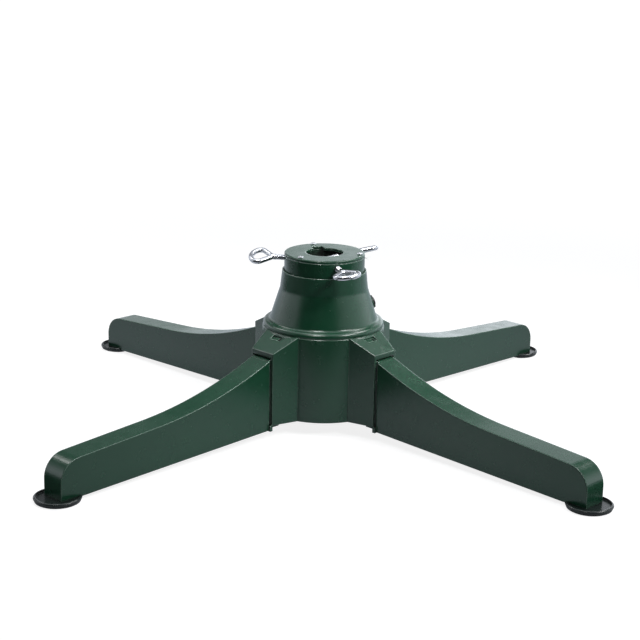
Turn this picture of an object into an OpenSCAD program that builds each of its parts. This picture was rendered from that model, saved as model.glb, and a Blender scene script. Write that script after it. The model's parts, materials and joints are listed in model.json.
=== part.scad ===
// Rotating stand for an artificial christmas tree, in millimetres.
// The origin is on the floor, on the axis that the tree turns about. Four legs plug into a
// fixed hub on the diagonals; -Y is the front. A small motor in the hub turns the spindle,
// its head and the three eye bolts that clamp the tree pole.

/* [Pole socket] */
// Diameter of the hole that takes the tree pole
pole_hole_d = 33; // [28:0.5:36]
// Wall of the spindle tube round the pole
spindle_wall = 3; // [2.5:0.1:3.5]
// Width of the key notch in the head cap
key_w = 10.4; // [6:0.2:12]
// How far the key notch goes in beyond the pole hole
key_depth = 6; // [3:0.5:7]

/* [Head] */
// Height of the head cap's top face above the floor
head_top = 152.5; // [137:0.5:168]
// Width of the head's face from the pole hole to its edge
head_band = 18.9; // [17:0.1:20]
// Thickness of the head cap
cap_t = 2.7; // [2:0.1:3.2]
// Height of the head ring's skirt
skirt_h = 15.3; // [14:0.1:17]
// Wall of the head ring
head_wall = 2.5; // [2:0.1:2.8]
// Direction of the front eye bolt, degrees from +X
bolt_az = -72; // [-80:1:-60]
// Length of the screws that hold the head cap
cap_screw_l = 8.7; // [7:0.1:9.5]

/* [Eye bolts] */
// Thread diameter of the eye bolts
bolt_d = 5; // [4:0.1:5.5]
// Length from the tip to the outer end of the eye
bolt_len = 64; // [58:0.5:70]
// Length of the eye along the bolt
eye_len = 22; // [20:0.5:24]
// Width across the outside of the eye
eye_w = 25; // [22:0.5:27.5]
// Diameter of the eye's wire
eye_wire_d = 4.7; // [3.5:0.1:5.1]
// Distance from the axis to the tips of the front and left bolts
tip_r = 4.5; // [4:0.1:10]
// Distance from the axis to the tip of the rear bolt
rear_tip_r = 2.5; // [2.5:0.1:10]
// Side of the square nuts that the bolts run in
nut_side = 8; // [7:0.1:8.8]
// Thickness of the square nuts
nut_t = 4; // [3:0.1:4.4]

/* [Bell cover] */
// Width of the bell's rim round the head
rim_lip = 1.2; // [1:0.1:2]
// Gap between the turning head and the rim
rim_gap = 0.5; // [0.4:0.05:1]
// How far the head ring reaches down into the rim
rim_lap = 2.5; // [2:0.1:3]
// How far the bell widens from its rim to the edge of its flange
bell_spread = 16.4; // [15:0.1:19]
// Wall of the bell
bell_wall = 2.5; // [2:0.1:3]
// Height of the flange's edge up to its flat top
flange_h = 4.6; // [4:0.1:5.5]
// Radius that rounds the flange's edge
flange_round = 3.4; // [2:0.1:3.5]
// Radius of the bend between the bell's neck and its sloping side
bell_bend_r = 14; // [8:1:25]
// Length of the screws that hold the bell
bell_screw_l = 6.5; // [5.5:0.1:6.9]

/* [Hub] */
// Height of the hub's underside above the floor
hub_lift = 12.4; // [11:0.1:14]
// Height of the hub's top plate above the floor
hub_top = 88; // [80:0.5:96]
// How far the hub's core reaches beyond the bell's flange
core_over = 0.5; // [0:0.1:2]
// Wall of the hub
hub_wall = 2.5; // [2:0.1:3]
// Length of an arm from the core to its mouth
arm_l = 20.5; // [19:0.1:24]
// Wall of an arm beside the leg
arm_wall = 1.75; // [1.5:0.05:2.5]
// How much further out an arm's side stands at the root than at the mouth
arm_splay = 6.5; // [6:0.1:8]
// How far the arm's roof at its mouth is below the top plate
arm_drop = 11.5; // [10.5:0.1:13]
// Slope of the arm's roof, degrees
arm_slope = 26; // [23:0.5:28]
// Thickness of the arm's roof
roof_t = 3.5; // [2.5:0.1:4]
// Width of the latch windows
window_w = 12.4; // [10:0.1:14]
// Thickness of the bottom cover
cover_t = 2.5; // [2:0.1:3]
// Length of the bottom cover's air slots
vent_l = 28; // [20:1:34]
// Length of the bottom cover's screws
cover_screw_l = 12; // [9:0.1:13]

/* [Legs] */
// Distance from the axis to the end of a leg
leg_reach = 296; // [260:1:340]
// Width of a leg
leg_w = 22; // [19:0.1:25]
// Wall of a leg
leg_wall = 2.2; // [1.6:0.1:3]
// How far the leg's top is below the arm's roof at the mouth
leg_step = 5.6; // [5:0.1:6.5]
// How far the leg's bottom edge hangs below the hub
leg_hang = 4.5; // [3:0.1:5.5]
// Slope of the leg's top next to the hub, degrees
leg_slope = 21.3; // [19:0.1:22]
// Slope of the leg's top towards the foot, degrees
leg_end_slope = 3.8; // [3:0.1:5]
// Radius of the hollow curve along the leg's top
leg_sweep_r = 377; // [340:1:420]
// Radius of the leg's outer end
leg_end_r = 19; // [10:0.5:21]
// Space between the ribs inside a leg
leg_rib_pitch = 24; // [18:1:36]
// Thickness of the ribs inside a leg
leg_rib_t = 1.8; // [1.2:0.1:2.2]
// Gap round a leg in the hub's arm
leg_gap = 0.25; // [0.2:0.05:0.4]

/* [Feet] */
// Distance from the leg's end to the centre of its foot dish
foot_inset = 4.5; // [2:0.1:8]
// Radius of a foot dish
foot_r = 19; // [17:0.1:22]
// Distance from the dish's centre to its straight side
foot_cut = 16; // [12:0.1:17]
// Height of the dish's rim above its floor
foot_rim = 1.6; // [1.2:0.1:3]
// Wall of the dish's rim
foot_wall = 1.8; // [1.4:0.1:2.2]
// Thickness of the dish's floor over the pad
foot_floor = 2; // [1.8:0.1:3]
// Thickness of the rubber pad under the dish
pad_t = 1; // [0.8:0.1:1.2]
// Length of the foot screws
foot_screw_l = 12; // [9:0.1:13]

/* [Drive] */
// Tooth module of the gears
gear_module = 1.25; // [1.1:0.05:1.4]
// Teeth on the spindle's gear
gear_teeth = 26; // [24:1:27]
// Teeth on the motor's pinion
pinion_teeth = 12; // [11:1:13]
// Width of the gears' faces
gear_w = 8; // [6:0.1:9]
// Room between the motor's case and the hub's wall
motor_room = 2.65; // [2:0.05:6]
// Height of the motor's case
motor_h = 19; // [15:0.1:21]
// Diameter of the motor's output shaft
motor_shaft_d = 7; // [5:0.1:7.7]
// Length of the motor's screws
motor_screw_l = 7; // [6:0.1:8]

/* [Bearings] */
// Diameter of the bearing balls
ball_d = 4.9; // [4.4:0.1:5.4]
// Number of bearing balls
ball_count = 12; // [8:1:14]
// Radius of the ball circle
ball_circle_r = 16; // [14.4:0.1:17.6]
// Thickness of the bearing's races
race_t = 2.3; // [2:0.1:2.6]
// Running clearance between shafts and bushes
run_gap = 0.05; // [0.02:0.01:0.1]

/* [Switch and inlet] */
// Direction of the push button, degrees from +X
switch_az = 15; // [0:1:30]
// Height of the push button's middle above the hub's top plate
switch_up = 17; // [16:0.1:19]
// Diameter of the button's bezel
bezel_d = 11.6; // [10:0.1:12.5]
// Diameter of the button's cap
button_d = 7.6; // [6:0.1:8]
// Travel of the button
button_travel = 1.5; // [1:0.1:1.6]
// Height of the power inlet above the hub's underside
inlet_up = 17.6; // [15:0.1:20]
// Diameter of the power inlet's threaded neck
inlet_d = 8; // [7:0.1:9]

/* [Hidden] */

$fn = 96;
eps = 0.01;
slip = 0.1;           // gap round what is pushed or screwed into place
leg_az = [-45, 45, 135, 225];
bolt_dirs = [bolt_az, bolt_az + 120, bolt_az + 240];
screw_dirs = [bolt_az + 60, bolt_az + 180, bolt_az + 300];

// Head, from the top down
pole_r = pole_hole_d / 2;
spindle_r = pole_r + spindle_wall;
head_r = pole_r + head_band;
ring_top = head_top - cap_t;
skirt_bottom = ring_top - skirt_h;
bolt_z = ring_top - nut_side / 2 - 0.3;
cavity_floor = bolt_z - nut_side / 2 - 0.5;
cavity_r = pole_r + 5.5;
sleeve_r = cavity_r + 2.6;
sleeve_bottom = skirt_bottom - 0.5;
ring_web_t = 2.5;
cap_screw_d = 3;
cap_boss_r = 3.7;
cap_screw_r = head_r - head_wall - 1.5;
pin_d = 3;
pin_z = (sleeve_bottom + cavity_floor) / 2;
nut_r = head_r - head_wall + 0.5 - nut_t;

// Bell, from the hub up
rim_r = head_r + rim_gap + rim_lip;
rim_top = skirt_bottom + rim_lap;
flange_r = rim_r + bell_spread;
flange_top = hub_top + flange_h;
neck_r = rim_r + 1.6;
neck_z = rim_top - 14.5;
flare_r = flange_r - 6.2;
flare_z = flange_top + 1.9;
web_top = sleeve_bottom - 2;
web_t = 5;
bush_r = spindle_r + 2.5;

// Hub, in plan
core_r = flange_r + core_over;
inner_r = core_r - hub_wall;
plate_t = 2.5;
plate_bottom = hub_top - plate_t;
spindle_flange_r = spindle_r + 4.5;
spindle_flange_t = 4;
throat_r = spindle_flange_r + 2;
screw_d = 4;
screw_head_r = 3.8;
screw_head_h = 2.4;
sunk_head_h = 1.1;
sunk_at = 1.2;
post_r = 4;
cover_screw_at = inner_r - 7.5;
cover_screw_dirs = [190, 350, 55, 125];
bell_screw_at = inner_r - 8.5;

// Drive and bearing, from the bottom cover up to the socket's floor
centre_gap = 0.1;
gear_distance = gear_module * (gear_teeth + pinion_teeth) / 2 + centre_gap;
motor_r = inner_r - gear_distance - motor_room;
motor_bottom = hub_lift + cover_t + 1.56;
motor_top = motor_bottom + motor_h;
ear_at = motor_r + 4;
ear_r = 4.2;
ear_t = 1;
motor_screw_d = 3;
motor_screw_head_r = 2.8;
motor_screw_head_h = 1.8;
shaft_in = 5;
gear_bottom = motor_top + 3;
gear_top = gear_bottom + gear_w;
deck_t = 3;
deck_bottom = gear_top + 1.5;
deck_top = deck_bottom + deck_t;
gear_hub_top = deck_bottom - 0.4;
ball_gap = ball_d * 0.6;
ball_z = deck_top + race_t + ball_gap / 2;
race_r = ball_circle_r + 7;
cage_t = 1.4;
stub_r = 8;
tail_r = 6;
tail_flat = 4.5;
gear_screw_d = 5;
gear_screw_l = 10;
gear_screw_head_r = 4.6;
gear_screw_head_h = 2.2;
spindle_bottom = deck_top + 2 * race_t + ball_gap;
socket_floor = spindle_bottom + spindle_flange_t;

// Arms and legs
arm_reach = core_r + arm_l;
arm_mouth_w = leg_w + 2 * leg_gap + 2 * arm_wall;
arm_flare = arm_splay / (arm_l + 3.7);
arm_mouth_top = hub_top - arm_drop;
roof_drop = tan(arm_slope);
roof_rise = roof_t / cos(arm_slope);
tongue_start = core_r + 0.6;
flange_at = tongue_start + 5.4;
tongue_flange_t = 3;
tongue_flange_w = leg_w + 5;
tongue_bottom = hub_lift - 0.9;
window = [tongue_start - 0.2, tongue_start + 5];
window_gap = 0.3;
snap = [window[0] + window_gap, window[1] - window_gap];
snap_top = roof_z(snap[1]) - 0.3;
snap_rise = 1.1;      // the snap's top slopes less than the roof
snap_slit = 2.4;
snap_slit_at = 3.2;
mouth_groove = [1.8, 1.2];
leg_root_top = arm_mouth_top - leg_step;
leg_root_bottom = hub_lift - leg_hang;

// Feet
foot_at = leg_reach - foot_inset;
foot_seat = pad_t + foot_floor;
foot_h = foot_seat + foot_rim;
foot_screw_at = foot_at - 6.5;
foot_screw_d = 4;

function arc(c, r, a0, a1, n) =
    [for (i = [0:n]) c + r * [cos(a0 + (a1 - a0) * i / n), sin(a0 + (a1 - a0) * i / n)]];
function roof_z(u) = arm_mouth_top + (arm_reach - u) * roof_drop;
function arm_half(u) = arm_mouth_w / 2 + (arm_reach - u) * arm_flare;

// The leg's top line: straight from the hub, a long hollow curve, straight again, round end
leg_first = 14.5;
leg_n1 = [sin(leg_slope), cos(leg_slope)];
leg_n2 = [sin(leg_end_slope), cos(leg_end_slope)];
leg_a = [arm_reach, leg_root_top] + leg_first * [cos(leg_slope), -sin(leg_slope)];
leg_c = leg_a + leg_sweep_r * leg_n1;
leg_b = leg_c - leg_sweep_r * leg_n2;
leg_k = [leg_reach - leg_end_r,
    leg_b[1] - tan(leg_end_slope) * (leg_reach - leg_end_r - leg_b[0])
        - leg_end_r / cos(leg_end_slope)];
function leg_line(u, t) = leg_a[1] - t / cos(leg_slope) + tan(leg_slope) * (leg_a[0] - u);
function leg_top(u0, t) = concat([[u0, leg_line(u0, t)]],
    arc(leg_c, leg_sweep_r + t, 270 - leg_slope, 270 - leg_end_slope, 20),
    arc(leg_k, leg_end_r - t, 90 - leg_end_slope, 0, 14));

// Involute gear outline, a tooth centred on +X
function inv(a) = tan(a) * 180 / PI - a;
function tooth_half(r, teeth, play) =
    let (pitch_r = gear_module * teeth / 2, base_r = pitch_r * cos(20))
    90 / teeth - play / pitch_r * 90 / PI + inv(20) - inv(acos(min(1, base_r / max(r, base_r))));
function polar(r, a) = [r * cos(a), r * sin(a)];
function tooth(teeth, play, turn) =
    let (root = gear_module * (teeth / 2 - 1.25), tip = gear_module * (teeth / 2 + 1), n = 4)
    concat([for (i = [0:n]) let (r = root + (tip - root) * i / n)
            polar(r, turn - tooth_half(r, teeth, play))],
        [for (i = [n:-1:0]) let (r = root + (tip - root) * i / n)
            polar(r, turn + tooth_half(r, teeth, play))]);
module gear_shape(teeth, width) {
    play = 0.2;
    linear_extrude(width)
        polygon([for (k = [0:teeth - 1]) each tooth(teeth, play, 360 * k / teeth)]);
}

module at(az) { rotate([0, 0, az]) children(); }
// A side outline in (distance from the axis, height), given its thickness across
module side(points, w) {
    rotate([90, 0, 0]) translate([0, 0, -w / 2]) linear_extrude(w) polygon(points);
}
module pan_screw(d, length, head_r, head_h) {
    translate([0, 0, -length]) cylinder(d = d, h = length);
    rotate_extrude() polygon([[0, 0], [head_r, 0], [head_r, head_h * 0.45],
        [head_r * 0.8, head_h * 0.85], [head_r * 0.45, head_h], [0, head_h]]);
}

// ---- Hub ----
module arm_plan(points, z0, z1) {
    translate([0, 0, z0]) linear_extrude(z1 - z0)
        polygon(concat(points, [for (i = [len(points) - 1:-1:0]) [points[i][0], -points[i][1]]]));
}
module arm_outside() {
    u0 = core_r - 5;
    intersection() {
        arm_plan([[u0, arm_half(u0)], [arm_reach, arm_half(arm_reach)]], hub_lift, hub_top);
        side([[u0, hub_lift], [u0, roof_z(u0)], [arm_reach, roof_z(arm_reach)],
            [arm_reach, hub_lift]], 2 * arm_half(u0));
    }
}
// The slot that a leg's tongue slides up into: a narrow mouth and a wider groove behind it
module arm_slot() {
    w = leg_w / 2 + leg_gap;
    wide = tongue_flange_w / 2 + leg_gap;
    u0 = tongue_start - 0.3;
    u1 = flange_at - leg_gap;
    u2 = flange_at + tongue_flange_t + leg_gap;
    out = arm_reach + 1;
    intersection() {
        arm_plan([[u0, w], [u1, w], [u1, wide], [u2, wide], [u2, w], [out, w]],
            hub_lift - 1, hub_top);
        side([[u0, hub_lift - 1], [u0, roof_z(u0) - roof_rise], [out, roof_z(out) - roof_rise],
            [out, hub_lift - 1]], 2 * wide + 2);
    }
}
module arm_window() {
    translate([window[0], -window_w / 2, roof_z(window[1]) - 2 * roof_rise])
        cube([window[1] - window[0], window_w, 3 * roof_rise]);
}
module arm_coring() {
    for (s = [0, 1]) mirror([0, s, 0])
        intersection() {
            translate([0, 0, hub_lift - 1]) linear_extrude(hub_top) polygon([
                [core_r - 0.5, leg_w / 2 + 2.4], [flange_at - 2.4, leg_w / 2 + 2.4],
                [flange_at - 2.4, arm_half(flange_at - 2.4) - 2.2],
                [core_r - 0.5, arm_half(core_r - 0.5) - 2.2]]);
            side([[core_r - 1, 0], [core_r - 1, roof_z(core_r - 1) - roof_rise],
                [flange_at, roof_z(flange_at) - roof_rise], [flange_at, 0]],
                2 * arm_half(core_r - 1));
        }
}
module hub_housing() color("#1d3a2c") {
    difference() {
        union() {
            translate([0, 0, hub_lift]) cylinder(r = core_r, h = plate_bottom - hub_lift + eps);
            rotate_extrude() polygon([[0, plate_bottom], [core_r, plate_bottom],
                [core_r, hub_top - 1], [core_r - 1, hub_top], [0, hub_top]]);
            for (a = leg_az) at(a) arm_outside();
        }
        translate([0, 0, hub_lift - 1]) cylinder(r = inner_r, h = plate_bottom - hub_lift + 1);
        translate([0, 0, plate_bottom - 1]) cylinder(r = throat_r, h = plate_t + 2);
        for (a = leg_az) at(a) {
            arm_slot();
            arm_window();
            arm_coring();
        }
        for (k = [0:3]) at(90 * k) translate([bell_screw_at, 0, plate_bottom - 1])
            cylinder(d = screw_d + 2 * slip, h = plate_t + 2);
        inlet_place() {
            translate([0, 0, -1]) cylinder(r = inlet_r + slip, h = hub_wall + 2);
            translate([0, 0, -1]) cylinder(r = inlet_flange_r + slip, h = 1 + inlet_sink);
        }
    }
    deck();
    for (a = cover_screw_dirs) at(a) translate([cover_screw_at, 0, hub_lift + cover_t])
        difference() {
            cylinder(r = post_r, h = deck_bottom - hub_lift - cover_t + eps);
            translate([0, 0, -1]) cylinder(d = screw_d + 2 * slip, h = cover_screw_l + sunk_at);
        }
    for (s = [-1, 1]) translate([s * ear_at, -gear_distance, motor_top])
        difference() {
            cylinder(r = post_r - 0.5, h = deck_bottom - motor_top + eps);
            translate([0, 0, -1]) cylinder(d = motor_screw_d + 2 * slip, h = motor_screw_l + 1);
        }
}
module deck() {
    difference() {
        union() {
            translate([0, 0, deck_bottom]) cylinder(r = inner_r + eps, h = deck_t);
            translate([0, 0, deck_top - eps]) cylinder(r = race_r + 2.2, h = 2);
            for (k = [0:7]) at(45 * k + 22.5)
                translate([race_r + 2, -1, deck_top - eps]) cube([inner_r - race_r - 1.8, 2, 9]);
        }
        translate([0, 0, deck_top]) cylinder(r = race_r + slip, h = 12);
        translate([0, 0, deck_bottom - 1]) cylinder(r = stub_r + 1.4, h = 3);
        translate([0, 0, deck_bottom + 0.8]) cylinder(r = stub_r + 2.5, h = deck_t);
    }
}
module bottom_cover() color("#18241f") {
    difference() {
        union() {
            translate([0, 0, hub_lift]) cylinder(r = inner_r - 0.3, h = cover_t);
            translate([0, 0, hub_lift + cover_t - eps]) difference() {
                cylinder(r = inner_r - 0.3, h = 2.5);
                translate([0, 0, -1]) cylinder(r = inner_r - 2.1, h = 5);
                for (a = cover_screw_dirs) at(a) translate([cover_screw_at + 2, 0, -1])
                    cylinder(r = post_r + 2.6, h = 5);
            }
        }
        for (a = cover_screw_dirs) at(a) translate([cover_screw_at, 0, hub_lift - 1]) {
            cylinder(d = screw_d + 2 * slip, h = cover_t + 2);
            cylinder(r = screw_head_r + slip, h = 1 + sunk_at);
        }
        for (k = [-4:4]) translate([-vent_l / 2, 5 * k - 1, hub_lift - 1]) cube([vent_l, 2, cover_t + 2]);
    }
}
module bottom_cover_screws() color("#b9bcc0") {
    for (a = cover_screw_dirs) at(a) translate([cover_screw_at, 0, hub_lift + sunk_at])
        rotate([180, 0, 0]) pan_screw(screw_d, cover_screw_l, screw_head_r, sunk_head_h);
}

// ---- Bell cover ----
// Outside of the bell from the rim down: a slightly leaning neck, a bend, a straight sloping
// side, and a small hollow where it meets the flange
neck_lean = atan((neck_r - rim_r) / (rim_top - neck_z));
bend_c = [neck_r + bell_bend_r * cos(neck_lean), neck_z + bell_bend_r * sin(neck_lean)];
bend_off = bend_c - [flare_r, flare_z];
flare_lean = atan2(bend_off[1], bend_off[0]) + asin(bell_bend_r / norm(bend_off)) - 90;
fillet_r = (flare_z - flange_top) / (1 - sin(flare_lean));
fillet_c = [flare_r + fillet_r * cos(flare_lean), flare_z + fillet_r * sin(flare_lean)];
function bell_side(t) = concat(
    [[rim_r - t, rim_top]],
    arc(bend_c, bell_bend_r + t, 180 + neck_lean, 180 + flare_lean, 5),
    arc(fillet_c, fillet_r + t, 180 + flare_lean, 270, 7));
function bell_edge(t) = concat(
    arc([flange_r - flange_round, flange_top - flange_round], flange_round - t, 90, 0, 8),
    [[flange_r - t, hub_top]]);
module switch_place() {
    at(switch_az) translate([switch_r, 0, switch_z]) rotate([0, -switch_lean, 0]) children();
}
switch_z = hub_top + switch_up;
switch_lean = flare_lean;
switch_r = flare_r - (switch_z - flare_z) * tan(flare_lean);
switch_seat = 0.6;    // how far the flat seat stands out of the bell
bezel_t = 1.4;
switch_body_r = bezel_d / 2 - 0.8;
module bell_cover() color("#1f4a35") {
    inner_edge = bell_edge(bell_wall);
    inner_side = bell_side(bell_wall);
    n = len(inner_side);
    m = len(inner_edge);
    difference() {
        union() {
            rotate_extrude() polygon(concat(bell_side(0), bell_edge(0),
                [for (i = [m - 1:-1:0]) inner_edge[i]],
                [for (i = [n - 1:-1:1]) inner_side[i]],
                [[head_r + rim_gap, web_top - web_t], [head_r + rim_gap, rim_top]]));
            // Web that carries the neck bush, with the ribs under it
            translate([0, 0, web_top - web_t]) cylinder(r = rim_r - 0.5, h = web_t);
            for (k = [0:7]) at(45 * k + 22.5) translate([bush_r + 0.5, -1, web_top - web_t - 8])
                cube([neck_r - bush_r - 4, 2, 9]);
            for (k = [0:3]) at(90 * k) translate([bell_screw_at, 0, hub_top])
                cylinder(r = post_r, h = flange_h + 0.6);
            switch_place() rotate([0, 90, 0]) translate([0, 0, -bell_wall - 1])
                cylinder(r = bezel_d / 2 + 0.5, h = bell_wall + 1 + switch_seat);
        }
        translate([0, 0, web_top - web_t - 9]) cylinder(r = bush_r + slip / 2, h = web_t + 10);
        translate([0, 0, web_top]) cylinder(r = head_r + rim_gap, h = rim_top - web_top + 1);
        for (k = [0:3]) at(90 * k) translate([bell_screw_at, 0, hub_top - 1])
            cylinder(d = screw_d + 2 * slip, h = bell_screw_l - plate_t + 1.6);
        switch_place() rotate([0, 90, 0]) {
            translate([0, 0, -12]) cylinder(r = switch_body_r + slip, h = 20);
            translate([0, 0, switch_seat]) cylinder(r = bezel_d / 2 + 0.3, h = 5);
        }
    }
}
module bell_screws() color("#b9bcc0") {
    for (k = [0:3]) at(90 * k) translate([bell_screw_at, 0, plate_bottom])
        rotate([180, 0, 0]) pan_screw(screw_d, bell_screw_l, screw_head_r, screw_head_h);
}
module neck_bush() color("#e8e6dc") {
    difference() {
        union() {
            translate([0, 0, web_top - web_t]) cylinder(r = bush_r, h = web_t + eps);
            translate([0, 0, web_top]) cylinder(r = bush_r + 3, h = 1.2);
        }
        translate([0, 0, web_top - web_t - 1]) cylinder(r = spindle_r + run_gap, h = web_t + 4);
    }
}

// ---- Bearing at the foot of the spindle ----
module groove() {
    translate([0, 0, ball_z]) rotate_extrude() translate([ball_circle_r, 0])
        circle(r = ball_d / 2 + 0.1, $fn = 48);
}
module race(inner, z) {
    difference() {
        translate([0, 0, z]) cylinder(r = race_r, h = race_t);
        translate([0, 0, z - 1]) cylinder(r = inner, h = race_t + 2);
        groove();
    }
}
module lower_race() color("#aeb2b6") race(stub_r + 1.2, deck_top);
module upper_race() color("#aeb2b6") race(stub_r + slip, spindle_bottom - race_t);
module lower_bush() color("#b08d4a") {
    difference() {
        translate([0, 0, deck_bottom + 0.8]) cylinder(r = stub_r + 2.4, h = deck_t - 0.8);
        translate([0, 0, deck_bottom]) cylinder(r = stub_r + run_gap, h = deck_t + 1);
    }
}
module ball_cage() color("#c9a35a") {
    difference() {
        translate([0, 0, ball_z - cage_t / 2]) cylinder(r = ball_circle_r + 4, h = cage_t);
        translate([0, 0, ball_z - 2]) cylinder(r = ball_circle_r - 4, h = 4);
        for (k = [0:ball_count - 1]) at(360 * k / ball_count)
            translate([ball_circle_r, 0, ball_z - 2]) cylinder(r = ball_d / 2 + slip, h = 4);
    }
}
module bearing_balls() color("#d7dade") {
    for (k = [0:ball_count - 1]) at(360 * k / ball_count)
        translate([ball_circle_r, 0, ball_z]) sphere(d = ball_d, $fn = 32);
}

// ---- Spindle and drive ----
module double_flat(r, flat, h) {
    intersection() {
        cylinder(r = r, h = h);
        translate([-flat, -r - 1, -1]) cube([2 * flat, 2 * r + 2, h + 2]);
    }
}
module spindle_tube() color("#9aa0a3") {
    difference() {
        union() {
            translate([0, 0, spindle_bottom]) cylinder(r = spindle_r, h = cavity_floor - spindle_bottom);
            translate([0, 0, spindle_bottom]) cylinder(r = spindle_flange_r, h = spindle_flange_t);
            translate([0, 0, gear_hub_top]) cylinder(r = stub_r, h = spindle_bottom - gear_hub_top + eps);
            translate([0, 0, gear_bottom]) double_flat(tail_r, tail_flat, gear_hub_top - gear_bottom + eps);
        }
        translate([0, 0, socket_floor]) cylinder(r = pole_r, h = head_top);
        translate([0, 0, gear_bottom - 1]) cylinder(d = gear_screw_d + 2 * slip, h = gear_screw_l + 3);
        for (a = screw_dirs) at(a) translate([pole_r - 1, 0, pin_z]) rotate([0, 90, 0])
            cylinder(d = pin_d + 2 * run_gap, h = spindle_wall + 2);
    }
}
module drive_gear() color("#ece9dd") {
    difference() {
        union() {
            translate([0, 0, gear_bottom]) at(-90) gear_shape(gear_teeth, gear_w);
            translate([0, 0, gear_top - eps]) cylinder(r = tail_r + 3.5, h = gear_hub_top - gear_top);
        }
        translate([0, 0, gear_bottom - 1]) double_flat(tail_r + run_gap, tail_flat + run_gap, gear_w + 4);
    }
}
module gear_screw() color("#b9bcc0") {
    translate([0, 0, gear_bottom]) rotate([180, 0, 0]) {
        pan_screw(gear_screw_d, gear_screw_l, gear_screw_head_r, gear_screw_head_h);
        cylinder(r = tail_r + 1.5, h = 0.6);
    }
}
module gear_motor() color("#c3c5c4") {
    translate([0, -gear_distance, 0]) difference() {
        union() {
            translate([0, 0, motor_bottom]) cylinder(r = motor_r, h = motor_h);
            translate([0, 0, motor_top - eps]) cylinder(r = motor_shaft_d / 2 + 2.2, h = 1.6);
            for (s = [-1, 1]) {
                translate([s * ear_at, 0, motor_top - ear_t]) cylinder(r = ear_r, h = ear_t);
                translate([s * (motor_r + 1) - 4, -ear_r, motor_top - ear_t])
                    cube([8, 2 * ear_r, ear_t]);
            }
            // Terminal block on the side of the case
            translate([-7, -motor_r - 1, motor_bottom + 3]) cube([14, 6, 9]);
        }
        translate([0, 0, motor_top - shaft_in]) cylinder(d = motor_shaft_d + 2 * run_gap, h = shaft_in + 4);
        for (s = [-1, 1]) translate([s * ear_at, 0, motor_top - 3])
            cylinder(d = motor_screw_d + 4 * slip, h = 5);
    }
}
module motor_screws() color("#b9bcc0") {
    for (s = [-1, 1]) translate([s * ear_at, -gear_distance, motor_top - ear_t])
        rotate([180, 0, 0])
            pan_screw(motor_screw_d, motor_screw_l, motor_screw_head_r, motor_screw_head_h);
}
module d_shaft(r, h) {
    intersection() {
        cylinder(r = r, h = h);
        translate([-r - 1, -r - 1, -1]) cube([2 * r + 2, 1.72 * r + 1, h + 2]);
    }
}
module motor_shaft() color("#d0d3d6") {
    translate([0, -gear_distance, motor_top - shaft_in + 0.3]) {
        cylinder(d = motor_shaft_d, h = shaft_in + 1.6);
        translate([0, 0, shaft_in + 1.6 - eps])
            d_shaft(motor_shaft_d / 2, gear_top + 0.5 - motor_top - 1.9);
    }
}
module pinion() color("#ece9dd") {
    translate([0, -gear_distance, gear_bottom]) difference() {
        at(90 + 180 / pinion_teeth) gear_shape(pinion_teeth, gear_w);
        translate([0, 0, -1]) d_shaft(motor_shaft_d / 2 + run_gap, gear_w + 2);
    }
}

// ---- Head ----
module bolt_boss_shape() {
    w = nut_side + 4;
    translate([cavity_r + 1, -w / 2, cavity_floor - eps])
        cube([head_r - cavity_r - 2, w, ring_top - cavity_floor + eps]);
}
module head_ring() color("#1f4a35") {
    difference() {
        union() {
            difference() {
                translate([0, 0, skirt_bottom]) cylinder(r = head_r, h = skirt_h);
                translate([0, 0, skirt_bottom - 1]) cylinder(r = head_r - head_wall, h = skirt_h + 2);
            }
            translate([0, 0, sleeve_bottom]) cylinder(r = sleeve_r, h = ring_top - sleeve_bottom);
            translate([0, 0, cavity_floor - ring_web_t]) cylinder(r = head_r - 1, h = ring_web_t);
            intersection() {
                union() {
                    for (a = bolt_dirs) at(a) bolt_boss_shape();
                    for (a = screw_dirs) at(a) {
                        translate([cap_screw_r, 0, cavity_floor - eps])
                            cylinder(r = cap_boss_r, h = ring_top - cavity_floor + eps);
                        translate([sleeve_r - 1, -1, cavity_floor - eps])
                            cube([cap_screw_r - sleeve_r, 2, ring_top - cavity_floor + eps]);
                    }
                }
                translate([0, 0, cavity_floor - 1]) cylinder(r = head_r - 1, h = 20);
            }
        }
        translate([0, 0, sleeve_bottom - 1]) cylinder(r = spindle_r + slip, h = 20);
        translate([0, 0, cavity_floor]) cylinder(r = cavity_r, h = 20);
        for (a = bolt_dirs) at(a) {
            translate([cavity_r - 3, 0, bolt_z]) rotate([0, 90, 0])
                cylinder(d = bolt_d + 0.6, h = head_r);
            translate([nut_r - 0.15, -nut_side / 2 - 0.15, bolt_z - nut_side / 2 - 0.15])
                cube([nut_t + 0.3, nut_side + 0.3, nut_side + 4]);
        }
        for (a = screw_dirs) at(a) {
            translate([cap_screw_r, 0, cavity_floor + 0.6]) cylinder(d = cap_screw_d + 2 * slip, h = 20);
            translate([spindle_r - 1, 0, pin_z]) rotate([0, 90, 0])
                cylinder(d = pin_d + 2 * run_gap, h = sleeve_r - spindle_r + 2);
        }
        at(screw_dirs[1]) translate([cavity_r - 2, -key_w / 2, cavity_floor])
            cube([pole_r + key_depth - cavity_r + 2, key_w, 20]);
    }
}
module head_cap() color("#2a5a42") {
    chamfer = 0.6;
    difference() {
        translate([0, 0, ring_top]) rotate_extrude() polygon([[0, 0], [head_r, 0],
            [head_r, cap_t - chamfer], [head_r - chamfer, cap_t], [0, cap_t]]);
        translate([0, 0, ring_top - 1]) cylinder(r = pole_r, h = cap_t + 2);
        at(screw_dirs[1]) translate([0, -key_w / 2, ring_top - 1])
            cube([pole_r + key_depth, key_w, cap_t + 2]);
        for (a = screw_dirs) at(a) translate([cap_screw_r, 0, ring_top - 1])
            cylinder(d = cap_screw_d + 2 * slip, h = cap_t + 2);
    }
}
module cap_screws() color("#c9ccd0") {
    for (a = screw_dirs) at(a) translate([cap_screw_r, 0, head_top])
        pan_screw(cap_screw_d, cap_screw_l, 2.6, 1.6);
}
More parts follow.
